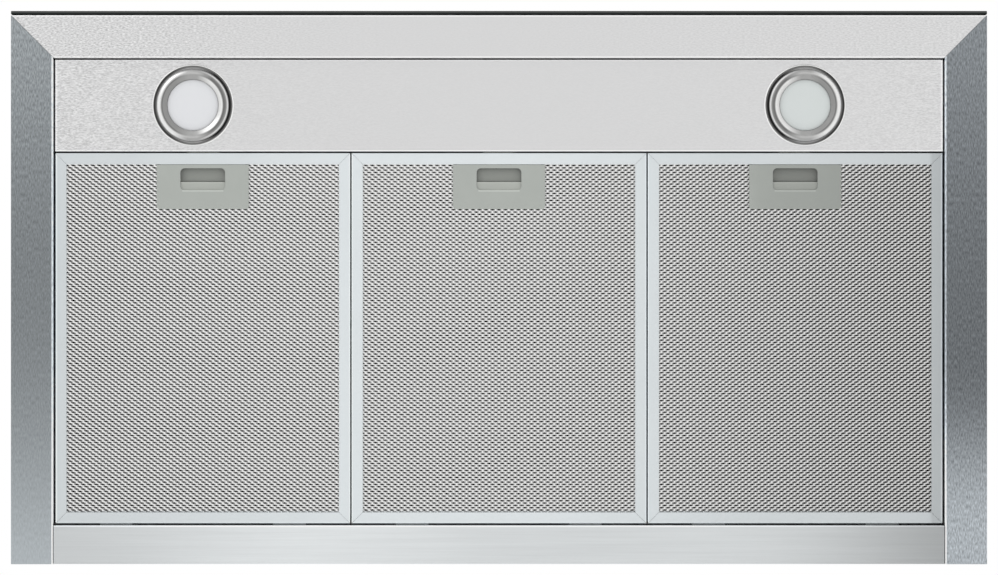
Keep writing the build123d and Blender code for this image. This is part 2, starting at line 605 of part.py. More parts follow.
def make_collar():
    """Base plate, round wall, and the two halves of the ledge that the flaps rest on."""
    bore = DUCT_RADIUS - STEEL
    wall_foot = BODY_TOP + STEEL
    plate = block(-FLANGE_X, FLANGE_X, DUCT_Y - COLLAR_PLATE_Y, DUCT_Y + COLLAR_PLATE_Y,
                  BODY_TOP, wall_foot)
    plate = fillet(plate.edges().filter_by(Axis.Z), 6)
    plate -= rod((0, DUCT_Y, BODY_TOP - 1), (0, DUCT_Y, wall_foot + 1), bore)
    plate -= collar_screw_holes()
    wall = tube((0, DUCT_Y, wall_foot), (0, DUCT_Y, BODY_TOP + DUCT_HEIGHT), DUCT_RADIUS, bore)
    wall -= rod((-80, DUCT_Y, DAMPER_Z), (80, DUCT_Y, DAMPER_Z), PIN_RADIUS + RUNNING_CLEARANCE)
    ledge = tube((0, DUCT_Y, STOP_TOP - 1.2), (0, DUCT_Y, STOP_TOP), bore, bore - 4)
    ledge -= block(-90, 90, DUCT_Y - 4, DUCT_Y + 4, STOP_TOP - 3, STOP_TOP + 3)
    parts["duct_collar"] = group([plate, wall, ledge])

    reach = DUCT_RADIUS - 0.1
    parts["damper_pin"] = rod((-reach, DUCT_Y, DAMPER_Z), (reach, DUCT_Y, DAMPER_Z), PIN_RADIUS)

    disc = Pos(0, DUCT_Y, DAMPER_Z - 0.4) * extrude(Circle(FLAP_RADIUS), 0.8)
    for name, sign in (("front", -1), ("rear", 1)):
        flap = disc & block(-80, 80, DUCT_Y + sign * FLAP_CLEAR, DUCT_Y + sign * 90,
                            DAMPER_Z - 5, DAMPER_Z + 5)
        for x0, x1 in KNUCKLES[name]:
            flap += block(x0, x1, DUCT_Y + sign * 2.3, DUCT_Y + sign * 8, DAMPER_Z - 0.4, DAMPER_Z + 0.4)
            flap += rod((x0, DUCT_Y, DAMPER_Z), (x1, DUCT_Y, DAMPER_Z), KNUCKLE)
        rib_y = DUCT_Y + sign * 30
        flap += block(-40, 40, rib_y - 1.2, rib_y + 1.2, DAMPER_Z, DAMPER_Z + 2.0)
        flap -= rod((-90, DUCT_Y, DAMPER_Z), (90, DUCT_Y, DAMPER_Z), PIN_RADIUS + RUNNING_CLEARANCE)
        parts[f"damper_flap_{name}"] = flap

    screws = [pan_screw((sx * COLLAR_SCREW_X, DUCT_Y + sy * COLLAR_SCREW_Y, ceiling - 6),
                        (sx * COLLAR_SCREW_X, DUCT_Y + sy * COLLAR_SCREW_Y, BODY_TOP + 1), radius=2.0)
              for sx in (-1, 1) for sy in (-1, 1)]
    parts["collar_screws"] = group(screws)


# ---------------------------------------------------------------- filters
TAB_OFFSET = 80.0
TAB_HALF = 15.0
TAB_REACH = 226.0
TAB_Z = HINGE_Z + HINGE_RADIUS + 0.15
SLOT_HALF = 15.6
HOUSING_HALF = 39.0
HOUSING_REAR = -74.6
SKIN_BOTTOM = filter_bottom - 0.1
half_f = filter_width / 2


def frame_members(x):
    """Four mitred U-shaped lengths of aluminium."""
    s = FILTER_SHEET
    low, high = filter_bottom + s / 2, filter_top - s / 2

    def channel(edge, inward):
        return folded([(edge + inward * FRAME_WIDTH, low), (edge + inward * s / 2, low),
                       (edge + inward * s / 2, high), (edge + inward * FRAME_WIDTH, high)], s)

    x0, x1 = x - half_f, x + half_f
    seam = 0.12
    front = along_x(channel(FILTER_FRONT, 1), x0, x1)
    rear = along_x(channel(FILTER_REAR, -1), x0, x1)
    left = along_y(channel(x0, 1), FILTER_FRONT, FILTER_REAR)
    right = along_y(channel(x1, -1), FILTER_FRONT, FILTER_REAR)
    for end, sign in ((x0, 1), (x1, -1)):
        front = keep_side(front, (end, FILTER_FRONT - seam, 0), (sign, -1, 0))
        rear = keep_side(rear, (end, FILTER_REAR + seam, 0), (sign, 1, 0))
    left = keep_side(left, (x0, FILTER_FRONT + seam, 0), (-1, 1, 0))
    left = keep_side(left, (x0, FILTER_REAR - seam, 0), (-1, -1, 0))
    right = keep_side(right, (x1, FILTER_FRONT + seam, 0), (1, 1, 0))
    right = keep_side(right, (x1, FILTER_REAR - seam, 0), (1, -1, 0))
    front -= block(x - SLOT_HALF, x + SLOT_HALF, FILTER_FRONT - 1, FILTER_FRONT + 2, 7.5, 11.4)
    for tab in (-TAB_OFFSET, TAB_OFFSET):
        rear += block(x + tab - TAB_HALF, x + tab + TAB_HALF, FILTER_REAR - s / 2, TAB_REACH,
                      TAB_Z, TAB_Z + 1.4)
    return [front, rear, left, right]


def holed_sheet(x, z0, z1):
    """A sheet of diamond mesh, drawn coarser than the real one, with its edge hidden in the frame."""
    margin = FILTER_SHEET + 0.4
    y0, y1 = FILTER_FRONT + margin, FILTER_REAR - margin
    view_x = 2 * (half_f - FRAME_WIDTH - 0.4)
    view_y0, view_y1 = FILTER_FRONT + FRAME_WIDTH + 0.4, FILTER_REAR - FRAME_WIDTH - 0.4
    pitch_x = view_x / MESH_COLUMNS
    pitch_y = (view_y1 - view_y0) / MESH_ROWS
    diamond = Polygon((pitch_x / 2 - MESH_STRAND, 0), (0, pitch_y / 2 - MESH_STRAND / 2),
                      (-pitch_x / 2 + MESH_STRAND, 0), (0, -pitch_y / 2 + MESH_STRAND / 2), align=None)
    sheet = Pos(x, (y0 + y1) / 2) * Rectangle(2 * (half_f - margin), y1 - y0)
    latch = (HOUSING_HALF + 0.5, HOUSING_REAR + 0.5)
    holes = []
    for column in range(2 * MESH_COLUMNS - 1):
        for row in range(column % 2, 2 * MESH_ROWS - 1, 2):
            cx = -view_x / 2 + (column + 1) * pitch_x / 2
            cy = view_y0 + (row + 1) * pitch_y / 2
            beside_latch = abs(cx) > latch[0] + pitch_x / 2 or cy > latch[1] + pitch_y / 2
            if beside_latch:
                holes.append(Pos(x + cx, cy) * diamond)
    holes.append(Pos(x, (y0 - 1 + latch[1]) / 2) * Rectangle(2 * latch[0], latch[1] - y0 + 1))
    return Pos(0, 0, z0) * extrude(sheet - holes, z1 - z0)


def pleats(x, z0, z1):
    """The inner layer: thin sheet folded to a zigzag across the filter."""
    margin = FILTER_SHEET + 0.6
    thickness = 0.5
    count = int(2 * (half_f - margin) / (PLEAT_PITCH / 2))
    start = x - count * PLEAT_PITCH / 4
    lower = [(start + n * PLEAT_PITCH / 2, z0 if n % 2 else z1 - thickness) for n in range(count + 1)]
    upper = [(px, pz + thickness) for px, pz in reversed(lower)]
    zigzag = make_face(Polyline(*lower, *upper, close=True))
    layer = along_y(zigzag, FILTER_FRONT + margin, FILTER_REAR - margin)
    return layer - block(x - HOUSING_HALF - 0.5, x + HOUSING_HALF + 0.5,
                         FILTER_FRONT - 1, HOUSING_REAR + 0.5, 0, 20)


def latch_housing(x):
    """Grey plate in the face of the filter, with the box behind it that guides the slider."""
    skin = block(x - LATCH_WIDTH / 2, x + LATCH_WIDTH / 2, LATCH_FRONT, LATCH_REAR,
                 SKIN_BOTTOM, filter_bottom + 0.8)
    skin = fillet(skin.edges().filter_by(Axis.Z).group_by(Axis.Y)[-1], 2.4)
    housing = block(x - HOUSING_HALF, x + HOUSING_HALF, FILTER_FRONT + 1.4, HOUSING_REAR,
                    filter_bottom + 0.85, 12.1)
    neck = block(x - HOUSING_HALF, x + HOUSING_HALF, LATCH_FRONT, HOUSING_REAR, filter_bottom + 0.5, 6)
    shape = joined([skin, housing, neck])
    shape -= block(x - 36.5, x + 36.5, FILTER_FRONT + 3.0, HOUSING_REAR - 2, 5.3, 11.2)
    window = RectangleRounded(WINDOW_WIDTH, WINDOW_REAR - WINDOW_FRONT, 4)
    shape -= Pos(x, (WINDOW_FRONT + WINDOW_REAR) / 2, 3) * extrude(window, 2.6)
    shape -= block(x - SLOT_HALF, x + SLOT_HALF, FILTER_FRONT, FILTER_FRONT + 4, 7.7, 11.15)
    return shape


SLIDER_TOP = 10.9
SLIDER_FLOOR = 9.5
SLIDER_REAR = -83.8
SPRING_X = 28.0
SPRING_Z = 7.45
SPRING_FRONT = -102.3
SPRING_REAR = HOUSING_REAR - 2.1


def latch_slider(x):
    """Tongue, floor of the finger well, and finger lip, in one moulding."""
    floor = block(x - 34, x + 34, FILTER_FRONT + 3.4, SLIDER_REAR, SLIDER_FLOOR, SLIDER_TOP)
    tongue = block(x - 14.8, x + 14.8, FILTER_FRONT - LATCH_TRAVEL, FILTER_FRONT + 5,
                   LEDGE_TOP + 0.3, SLIDER_TOP)
    tongue = chamfer(tongue.edges().filter_by(Axis.X).group_by(Axis.Y)[0].sort_by(Axis.Z)[-1], 1.5)
    lip = block(x - 22, x + 22, LIP_FRONT, SLIDER_REAR, 5.45, SLIDER_FLOOR + 0.2)
    lip = fillet(lip.edges().filter_by(Axis.X).group_by(Axis.Y)[0].sort_by(Axis.Z)[0], 0.8)
    ribs = [block(x + s * 25, x + s * 31, SPRING_FRONT - 1.6, SPRING_FRONT - 0.1, 5.6, SLIDER_FLOOR + 0.2)
            for s in (-1, 1)]
    return joined([floor, tongue, lip] + ribs)


def latch_springs(x):
    """Two compression springs that push the slider forwards, drawn as their outer sleeves."""
    sleeves = []
    for spring_x in (x - SPRING_X, x + SPRING_X):
        sleeves.append(tube((spring_x, SPRING_FRONT, SPRING_Z), (spring_x, SPRING_REAR, SPRING_Z), 1.8, 1.3))
    return group(sleeves)


def make_filters():
    for bay, x in BAYS.items():
        parts[f"filter_frame_{bay}"] = group(frame_members(x))
        parts[f"filter_face_{bay}"] = holed_sheet(x, 4.9, 5.8)
        parts[f"filter_layers_{bay}"] = group([pleats(x, 6.0, 10.9), holed_sheet(x, 11.1, 12.0)])
        parts[f"latch_plate_{bay}"] = latch_housing(x)
        parts[f"latch_slider_{bay}"] = latch_slider(x)
        parts[f"latch_springs_{bay}"] = latch_springs(x)


# ---------------------------------------------------------------- build and write
def main():
    make_rims()
    make_controls()
    make_lamp_panel()
    for side, sign in SIDES.items():
        make_lamp(side, sign)
    make_lamp_fittings()
    make_body()
    make_wiring_box()
    make_scroll()
    make_impeller()
    make_motor()
    make_collar()
    make_filters()
    os.makedirs("parts", exist_ok=True)
    for name, shape in parts.items():
        export_step(shape, f"parts/{name}.step")
    print(len(parts), "parts")


main()
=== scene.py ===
"""Looks of a built-in range hood insert, seen from below.

Finishes, the expanded mesh of the filters, the latch springs, light and camera.
"""
import math

import bmesh
import bpy
import numpy as np
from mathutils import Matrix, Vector


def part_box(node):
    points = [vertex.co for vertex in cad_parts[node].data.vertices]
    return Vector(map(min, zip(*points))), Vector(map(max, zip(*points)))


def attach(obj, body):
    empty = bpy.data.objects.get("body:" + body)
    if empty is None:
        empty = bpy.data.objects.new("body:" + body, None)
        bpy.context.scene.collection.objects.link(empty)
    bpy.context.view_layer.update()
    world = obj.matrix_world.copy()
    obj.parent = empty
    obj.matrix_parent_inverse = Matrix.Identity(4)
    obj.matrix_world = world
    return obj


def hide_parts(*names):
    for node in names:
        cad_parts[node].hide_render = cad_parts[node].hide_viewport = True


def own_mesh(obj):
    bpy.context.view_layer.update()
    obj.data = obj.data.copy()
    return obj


MM = 0.001
BAYS = ("left", "middle", "right")

# Expanded mesh of the filters
CELL = (6.0 * MM, 4.3 * MM)         # one diamond, across and front to back
STRAND = 1.6 * MM
STRAND_THICKNESS = 0.35 * MM
STRAND_TILT = math.radians(20)
BOND_SPACING = 0.6                  # between two strands' middles where they meet, in strand widths
MESH_MARGIN = 0.6 * MM              # from the edge of the CAD sheet to the last strand's middle
PLATE_LAP = (3.0 * MM, 1.8 * MM)    # how far the mesh runs in over a latch plate, at its sides and rear

# Inner layers of the filters: a folded one, and a flat one behind it
INNER_PITCH = {"left": 4.62 * MM, "middle": 4.46 * MM, "right": 4.55 * MM}  # its cells, front to back
INNER_SLANT = {"left": 0.0, "middle": 0.01, "right": -0.06}  # turn of its rows, in radians
PLEAT = 12.0 * MM                   # one fold, up and down
FOLD_BOTTOM = 0.6 * MM              # the folded layer, over the bottom of the layers' CAD box
FOLD_TOP = 1.6 * MM                 # and under its top
FLAT_DEPTH = 0.5 * MM               # the flat layer, under the top of that box

# Springs of the latches
SPRING_TURNS = 7
STEPS_A_TURN = 16
WIRE_RADIUS = 0.25 * MM
WIRE_SIDES = 8

# View of the photograph, square on from below
CAMERA_DISTANCE = 2.4
FRAME_PIXELS = 998
HOOD_PIXELS = 976.0                 # the hood's width in the photograph
SENSOR = 36.0
WIDEST_Z = 1.6 * MM                 # a height over the face at which the rims have their full width
FLOOR_Z = -2.5
FLOOR_HALF = 7.0                    # half the floor's width

# Places on the hood that its finishes refer to
HOOD_WIDTH = 900.0 * MM
OPENING_X = 410.9 * MM              # inner edges of the side rims
PANEL_X = 409.7 * MM                # ends of the lamp panel and outer sides of the filters
FILTER_JOINT_X = 136.7 * MM         # between the middle filter and its neighbours
OPENING_FRONT = -211.5 * MM         # inner edge of the front rim
OPENING_REAR = 219.2 * MM
FRAME_REAR = 218.0 * MM             # rear edge of the filter frames, behind which their tabs stand out
STEEL_FRONT = -251.2 * MM
LAMP_X = 282.4 * MM
LAMP_Y = -168.2 * MM
LIP_FRONT = -97.5 * MM              # front edge of each latch's finger lip
WINDOW_REAR = -89.8 * MM
WELL_HIGHLIGHT_HALF = 19.0 * MM          # half the length of the painted highlight behind a finger well
MARK_Z = 23.0 * MM                  # middle of the touch marks, over the face
MARK_BACK = -254.7 * MM             # the touch marks lie in front of this
POLISH_END = -253.0 * MM            # the glass is polished in front of this
DULL_START = -252.6 * MM            # and dull behind this
LINE = 0.9 * MM                     # width of the painted highlight along a fold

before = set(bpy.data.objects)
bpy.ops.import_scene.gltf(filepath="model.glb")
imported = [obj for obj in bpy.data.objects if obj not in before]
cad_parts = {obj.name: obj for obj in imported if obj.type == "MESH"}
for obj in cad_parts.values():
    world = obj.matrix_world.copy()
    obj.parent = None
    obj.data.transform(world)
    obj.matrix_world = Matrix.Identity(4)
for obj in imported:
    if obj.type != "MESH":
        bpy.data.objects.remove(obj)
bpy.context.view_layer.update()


# ---------------------------------------------------------------- materials
class Shade:
    """A material on the Principled shader, with short ways to add nodes to it."""

    def __init__(self, name, color, roughness, metallic=0.0):
        self.material = bpy.data.materials.new(name)
        self.material.use_nodes = True
        self.tree = self.material.node_tree
        self.bsdf = self.tree.nodes["Principled BSDF"]
        self.color = color
        self.set("Base Color", (*color, 1.0))
        self.set("Roughness", roughness)
        self.set("Metallic", metallic)

    def set(self, socket, value):
        self.bsdf.inputs[socket].default_value = value

    def node(self, kind, inputs=(), **attributes):
        node = self.tree.nodes.new(kind)
        for key, value in attributes.items():
            setattr(node, key, value)
        for key, value in dict(inputs).items():
            if isinstance(value, bpy.types.NodeSocket):
                self.tree.links.new(value, node.inputs[key])
            else:
                node.inputs[key].default_value = value
        return node

    def feed(self, socket, value):
        self.tree.links.new(value, self.bsdf.inputs[socket])

    def place(self, scale=(1, 1, 1)):
        """The point on the object in metres, stretched."""
        here = self.node("ShaderNodeTexCoord").outputs["Object"]
        return self.node("ShaderNodeMapping", {"Vector": here, "Scale": scale}).outputs["Vector"]

    def axis(self, name):
        """One coordinate of the point on the object, in metres."""
        return self.node("ShaderNodeSeparateXYZ", {0: self.place()}).outputs[name]

    def noise(self, scale, detail=3.0, roughness=0.6):
        """Soft noise from 0 to 1, with that many features to a metre along each axis."""
        inputs = {"Vector": self.place(scale), "Scale": 1.0, "Detail": detail, "Roughness": roughness}
        return self.node("ShaderNodeTexNoise", inputs).outputs["Fac"]

    def math(self, operation, a, b=0.0):
        return self.node("ShaderNodeMath", {0: a, 1: b}, operation=operation).outputs[0]

    def remap(self, value, from_min, from_max, to_min, to_max):
        inputs = {0: value, 1: from_min, 2: from_max, 3: to_min, 4: to_max}
        return self.node("ShaderNodeMapRange", inputs, clamp=True).outputs[0]

    def curve(self, value, stops, smooth=True):
        """A level that follows a value, from (millimetres, level) pairs."""
        first, last = stops[0][0], stops[-1][0]
        share = self.remap(value, first * MM, last * MM, 0.0, 1.0)
        ramp = self.node("ShaderNodeValToRGB", {0: share})
        band = ramp.color_ramp
        band.interpolation = "B_SPLINE" if smooth else "LINEAR"
        for place, _ in stops[1:-1]:
            band.elements.new((place - first) / (last - first))
        for element, (_, level) in zip(band.elements, stops):
            element.color = (level, level, level, 1.0)
        return self.node("ShaderNodeSeparateColor", {0: ramp.outputs[0]}).outputs[0]

    def blend(self, share, low, high):
        """A level between two others, by a share from 0 to 1."""
        mix = self.node("ShaderNodeMix", {0: share, 2: low, 3: high}, data_type="FLOAT")
        return mix.outputs[0]

    def painted_line(self, coordinate, place, gain, width=LINE):
        """1 everywhere, turning to gain along a thin line at a place on a coordinate: a painted
        highlight, or a painted dark line where gain is below 1.
        """
        off = self.math("ABSOLUTE", self.math("SUBTRACT", coordinate, place))
        return self.remap(off, width * 0.5, width * 0.8, gain, 1.0)

    def product(self, *levels):
        result = levels[0]
        for level in levels[1:]:
            result = self.math("MULTIPLY", result, level)
        return result

    def tint(self, level):
        """Multiplies the base colour by a level, a socket that may pass 1."""
        scaled = self.node("ShaderNodeVectorMath", {0: self.color, "Scale": level}, operation="SCALE")
        self.feed("Base Color", scaled.outputs[0])

    def bump(self, height, distance, strength, edge=0.0):
        """Relief from a height, over edges eased by a radius."""
        inputs = {"Height": height, "Distance": distance, "Strength": strength}
        if edge:
            inputs["Normal"] = self.rounded(edge)
        self.feed("Normal", self.node("ShaderNodeBump", inputs).outputs[0])

    def rounded(self, radius):
        return self.node("ShaderNodeBevel", {"Radius": radius}, samples=4).outputs[0]


def brushed(name, color, along, roughness=0.34, grain=0.10, shade=None, edge=0.3 * MM):
    """Sheet metal with fine straight scratches along an axis."""
    s = Shade(name, color, roughness, metallic=1.0)
    stretch = [780.0, 780.0, 780.0]
    stretch["XYZ".index(along)] = 14.0
    coarse = [210.0, 210.0, 210.0]
    coarse["XYZ".index(along)] = 5.0
    fine = s.noise(stretch, detail=4.0, roughness=0.75)
    broad = s.noise(coarse, detail=2.0)
    drift = s.remap(broad, 0.3, 0.7, -0.03, 0.03)
    level = s.math("ADD", s.remap(fine, 0.3, 0.7, 1.0 - grain, 1.0 + grain), drift)
    if shade is not None:
        level = s.math("MULTIPLY", level, shade(s))
    s.tint(level)
    s.feed("Roughness", s.remap(fine, 0.3, 0.7, roughness - 0.06, roughness + 0.08))
    s.bump(fine, 0.012 * MM, 0.5, edge)
    return s.material


def plain_metal(name, color, roughness, mottle=0.06, grain=60.0, edge=0.25 * MM):
    """Cast, drawn or rolled metal with a faint cloudy surface."""
    s = Shade(name, color, roughness, metallic=1.0)
    cloud = s.noise([grain] * 3, detail=4.0)
    speck = s.noise([grain * 24] * 3, detail=2.0)
    s.tint(s.remap(cloud, 0.3, 0.7, 1.0 - mottle, 1.0 + mottle))
    s.feed("Roughness", s.remap(speck, 0.3, 0.7, roughness - 0.05, roughness + 0.07))
    s.bump(speck, 0.01 * MM, 0.4, edge)
    return s.material


def galvanised(name, color):
    """Zinc-coated sheet with its crystal spangle."""
    s = Shade(name, color, 0.42, metallic=1.0)
    cells = s.node("ShaderNodeTexVoronoi", {"Vector": s.place([90.0] * 3), "Scale": 1.0})
    spangle = s.node("ShaderNodeSeparateColor", {0: cells.outputs["Color"]}).outputs[0]
    cloud = s.noise([14.0] * 3, detail=3.0)
    s.tint(s.math("ADD", s.remap(spangle, 0.0, 1.0, 0.86, 1.08), s.remap(cloud, 0.3, 0.7, -0.05, 0.05)))
    s.feed("Roughness", s.remap(spangle, 0.0, 1.0, 0.36, 0.5))
    s.bump(spangle, 0.004 * MM, 0.3, 0.3 * MM)
    return s.material


def moulded(name, color, roughness=0.48, grain=0.03, edge=0.35 * MM, shade=None):
    """Moulded plastic or rubber with a fine spark-eroded texture."""
    s = Shade(name, color, roughness)
    pits = s.noise([2600.0] * 3, detail=2.0)
    cloud = s.noise([40.0] * 3, detail=3.0)
    drift = s.remap(cloud, 0.3, 0.7, -0.02, 0.02)
    level = s.math("ADD", s.remap(pits, 0.3, 0.7, 1.0 - grain, 1.0 + grain), drift)
    if shade is not None:
        level = s.math("MULTIPLY", level, shade(s))
    s.tint(level)
    s.feed("Roughness", s.remap(pits, 0.3, 0.7, roughness - 0.06, roughness + 0.06))
    s.bump(pits, 0.02 * MM, 0.35, edge)
    return s.material


def side_steel(name, color, levels, grained):
    """A side rim's satin steel: painted shade in bands from front to rear, short streaks, a painted
    highlight on the inner fold.
    """
    s = Shade(name, color, 0.36, metallic=1.0)
    y = s.axis("Y")
    streak = s.noise([1000.0, 240.0, 1000.0], detail=1.0)
    shown = s.curve(y, grained)
    speck = s.math("ADD", s.math("MULTIPLY", s.remap(streak, 0.2, 0.8, -0.5, 0.5), shown), 1.0)
    # Painted highlight along the inner fold.
    fold = s.painted_line(s.math("ABSOLUTE", s.axis("X")), OPENING_X + 0.5 * MM, 3.3, 1.5 * MM)
    s.tint(s.product(s.curve(y, levels), fold, speck))
    s.feed("Roughness", s.remap(streak, 0.3, 0.7, 0.30, 0.42))
    s.bump(streak, 0.012 * MM, 0.5, 0.3 * MM)
    return s.material


def rear_shade(s):
    """Painted soft bands of light and shade from left to right, and a painted highlight on the fold along
    the opening.
    """
    levels = [(-410, 0.71), (-295, 0.83), (-165, 1.0), (0, 0.80), (180, 0.87), (295, 0.80), (410, 0.45)]
    fold = s.painted_line(s.axis("Y"), OPENING_REAR + 0.9 * MM, 1.35)
    return s.product(s.curve(s.axis("X"), levels), fold)


def latch_fall(s):
    """The right-hand latch stands in more shade than the others."""
    return s.curve(s.axis("X"), [(-320, 1.0), (220, 1.0), (240, 0.86), (320, 0.76)], smooth=False)


def plate_shade(s):
    """Painted shade on the right-hand latch, and a painted highlight behind the finger well."""
    rim = s.painted_line(s.axis("Y"), WINDOW_REAR + 0.6 * MM, 1.35)
    far = s.math("ABSOLUTE", s.axis("X"))
    beside = s.math("ABSOLUTE", s.math("SUBTRACT", far, 2 * FILTER_JOINT_X))
    near = s.math("LESS_THAN", s.math("MINIMUM", beside, far), WELL_HIGHLIGHT_HALF)
    return s.product(latch_fall(s), s.blend(near, 1.0, rim))


def slider_shade(s):
    """Painted shade on the finger well's floor and on the right-hand latch, a painted highlight on the
    lip's front edge, and a painted dark line in front of it.
    """
    painted_well_shade = s.curve(s.axis("Z"), [(5.0, 1.0), (6.5, 0.96), (9.0, 0.70), (11.0, 0.70)], smooth=False)
    y = s.axis("Y")
    return s.product(latch_fall(s), painted_well_shade, s.painted_line(y, LIP_FRONT + 0.5 * MM, 1.2),
                     s.painted_line(y, LIP_FRONT - 0.6 * MM, 0.7))


def pale_steel(name, color, folds, grained, end=None):
    """Light satin steel, with a short fine grain that shows towards its ends, and painted highlights on
    its folds.

    end is how far from the hood's middle a painted highlight crosses at each end, where there is one.
    """
    s = Shade(name, color, 0.42, metallic=1.0)
    x, y = s.axis("X"), s.axis("Y")
    grain = s.noise([380.0, 1150.0, 1150.0], detail=1.0)
    shown = s.curve(x, grained)
    speck = s.math("ADD", s.math("MULTIPLY", s.remap(grain, 0.2, 0.8, -0.42, 0.42), shown), 1.0)
    # Painted light: a little lighter towards the right.
    painted_light_slope = s.remap(x, -OPENING_X, OPENING_X, 0.99, 1.03)
    lines = [s.painted_line(y, place, 1.35) for place in folds]
    if end is not None:
        lines.append(s.painted_line(s.math("ABSOLUTE", x), end, 1.35))
    s.tint(s.product(speck, painted_light_slope, *lines))
    s.bump(s.math("MULTIPLY", grain, shown), 0.02 * MM, 0.5, 0.3 * MM)
    return s.material


def frame_finish(name, color):
    """Anodised aluminium of the filter frames, painted darker towards the hood's sides as shade, with
    painted highlights along their edges.

    The walls, which stand over the lower face, and the tabs are painted dark as shade, as they are seen
    in the gaps.
    """
    s = Shade(name, color, 0.45, metallic=1.0)
    x = s.axis("X")
    far = s.math("ABSOLUTE", x)
    painted_falloff = s.curve(x, [
        (-410, 0.87), (-330, 0.89), (-200, 0.96), (-130, 1.0), (30, 1.01), (137, 0.95),
        (200, 0.90), (330, 0.86), (397, 0.80), (400, 0.66), (410, 0.64),
    ], smooth=False)
    # Painted highlights along the frames' edges.
    lines = [s.painted_line(far, FILTER_JOINT_X + side * 1.0 * MM, 1.2) for side in (-1, 1)]
    lines.append(s.painted_line(far, PANEL_X - 1.2 * MM, 1.38))
    lines.append(s.painted_line(s.axis("Y"), FRAME_REAR - 1.2 * MM, 1.15))
    # Painted shade on the walls and the tabs.
    walls = s.remap(s.axis("Z"), 4.7 * MM, 5.7 * MM, 1.0, 0.3)
    tabs = s.remap(s.axis("Y"), FRAME_REAR + 0.2 * MM, FRAME_REAR + 0.6 * MM, 1.0, 0.25)
    cloud = s.noise([20.0] * 3, detail=4.0)
    speck = s.noise([480.0] * 3, detail=2.0)
    s.tint(s.product(painted_falloff, walls, tabs, *lines, s.remap(cloud, 0.3, 0.7, 0.985, 1.015)))
    s.feed("Roughness", s.remap(speck, 0.3, 0.7, 0.4, 0.52))
    s.bump(speck, 0.01 * MM, 0.4, 0.25 * MM)
    return s.material


def touch_glass(name):
    """Black glass with five printed touch rings and a dull back edge."""
    s = Shade(name, (0.006, 0.010, 0.009), 0.06)
    pitch, ring, line = 30.0 * MM, 4.6 * MM, 0.35 * MM
    x, z = s.axis("X"), s.math("SUBTRACT", s.axis("Z"), MARK_Z)
    near = s.node("ShaderNodeMath", {0: x, 1: pitch / 2, 2: -pitch / 2}, operation="WRAP").outputs[0]
    far = s.math("SQRT", s.math("ADD", s.math("MULTIPLY", near, near), s.math("MULTIPLY", z, z)))
    on_ring = s.math("LESS_THAN", s.math("ABSOLUTE", s.math("SUBTRACT", far, ring)), line)
    dot = s.math("LESS_THAN", far, 1.1 * MM)
    marks = s.math("MAXIMUM", on_ring, dot)
    within = s.math("LESS_THAN", s.math("ABSOLUTE", x), 2.5 * pitch)
    front = s.math("LESS_THAN", s.axis("Y"), MARK_BACK)
    mask = s.math("MULTIPLY", s.math("MULTIPLY", marks, within), front)
    colors = {0: mask, "A": (*s.color, 1.0), "B": (0.7, 0.72, 0.72, 1.0)}
    mix = s.node("ShaderNodeMix", colors, data_type="RGBA")
    s.feed("Base Color", mix.outputs["Result"])
    polished = s.remap(s.axis("Y"), POLISH_END, DULL_START, 1.0, 0.0)
    s.feed("Specular IOR Level", s.math("MULTIPLY", polished, 0.55))
    s.feed("Coat Weight", s.math("MULTIPLY", polished, 0.5))
    smear = s.noise([9.0, 9.0, 30.0], detail=4.0)
    s.feed("Roughness", s.remap(smear, 0.4, 0.8, 0.05, 0.14))
    s.set("Coat Roughness", 0.03)
    s.feed("Normal", s.rounded(0.4 * MM))
    return s.material


def lamp_radius(s, centre_x):
    """Distance sideways from a lamp's axis, and from that axis in plan."""
    x = s.math("SUBTRACT", s.axis("X"), centre_x)
    y = s.math("SUBTRACT", s.axis("Y"), LAMP_Y)
    return x, s.math("SQRT", s.math("ADD", s.math("MULTIPLY", x, x), s.math("MULTIPLY", y, y)))


def lens_finish(name, color, centre_x):
    """Frosted lamp lens, a little darker towards its rim."""
    s = Shade(name, color, 0.34)
    frost = s.noise([1400.0] * 3, detail=3.0)
    _, radius = lamp_radius(s, centre_x)
    rim = s.curve(radius, [(0, 1.0), (17, 0.99), (20, 0.95), (22, 0.87), (23.4, 0.72)], smooth=False)
    s.tint(s.math("MULTIPLY", rim, s.remap(frost, 0.3, 0.7, 0.99, 1.01)))
    s.feed("Roughness", s.remap(frost, 0.3, 0.7, 0.28, 0.42))
    s.set("Subsurface Weight", 0.25)
    s.set("Subsurface Radius", (0.004, 0.004, 0.004))
    s.set("Coat Weight", 0.25)
    s.bump(frost, 0.01 * MM, 0.3)
    return s.material


